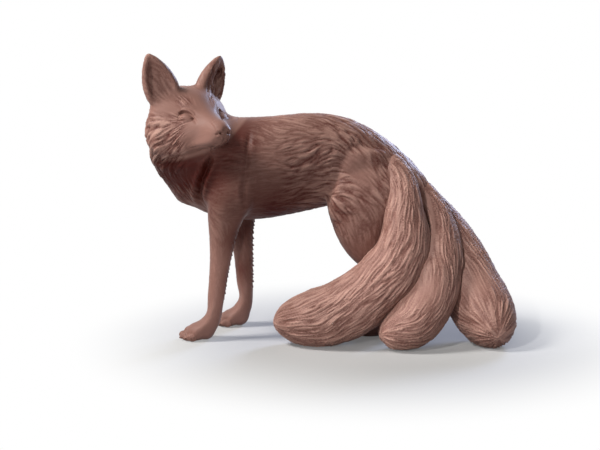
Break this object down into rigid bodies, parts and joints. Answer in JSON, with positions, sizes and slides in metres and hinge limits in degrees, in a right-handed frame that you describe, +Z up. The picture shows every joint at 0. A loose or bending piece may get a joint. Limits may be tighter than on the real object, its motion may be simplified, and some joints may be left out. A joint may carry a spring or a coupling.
{
  "type": "fox figurine",
  "caption": "Standing fox figurine with a fan of thick tails and its head turned back over its left shoulder; pinned resin castings, for display on a shelf.",
  "frame": {"origin": "middle of the footprint, on the surface that the fox stands on", "axes": "+Z up, the body faces -X, +Y towards the fox's right side, so the tails and the face turn towards -Y"},
  "size_m": [0.1446, 0.0548, 0.112],
  "materials": {
    "tinted_resin": "matt cast resin, tinted brown right through, with carved fur",
    "dowel_steel": "ground steel pin"
  },
  "bodies": {
    "root": {"torso": "tinted_resin", "head": "tinted_resin", "left_ear": "tinted_resin", "right_ear": "tinted_resin", "left_foreleg": "tinted_resin", "right_foreleg": "tinted_resin", "left_hind_leg": "tinted_resin", "right_hind_leg": "tinted_resin", "near_tail": "tinted_resin", "middle_tail": "tinted_resin", "outer_tail": "tinted_resin", "neck_dowel": "dowel_steel", "left_ear_dowel": "dowel_steel", "right_ear_dowel": "dowel_steel", "left_foreleg_dowel": "dowel_steel", "right_foreleg_dowel": "dowel_steel", "left_hind_leg_dowel": "dowel_steel", "right_hind_leg_dowel": "dowel_steel", "near_tail_dowel": "dowel_steel", "middle_tail_dowel": "dowel_steel", "outer_tail_dowel": "dowel_steel"}
  },
  "joints": []
}
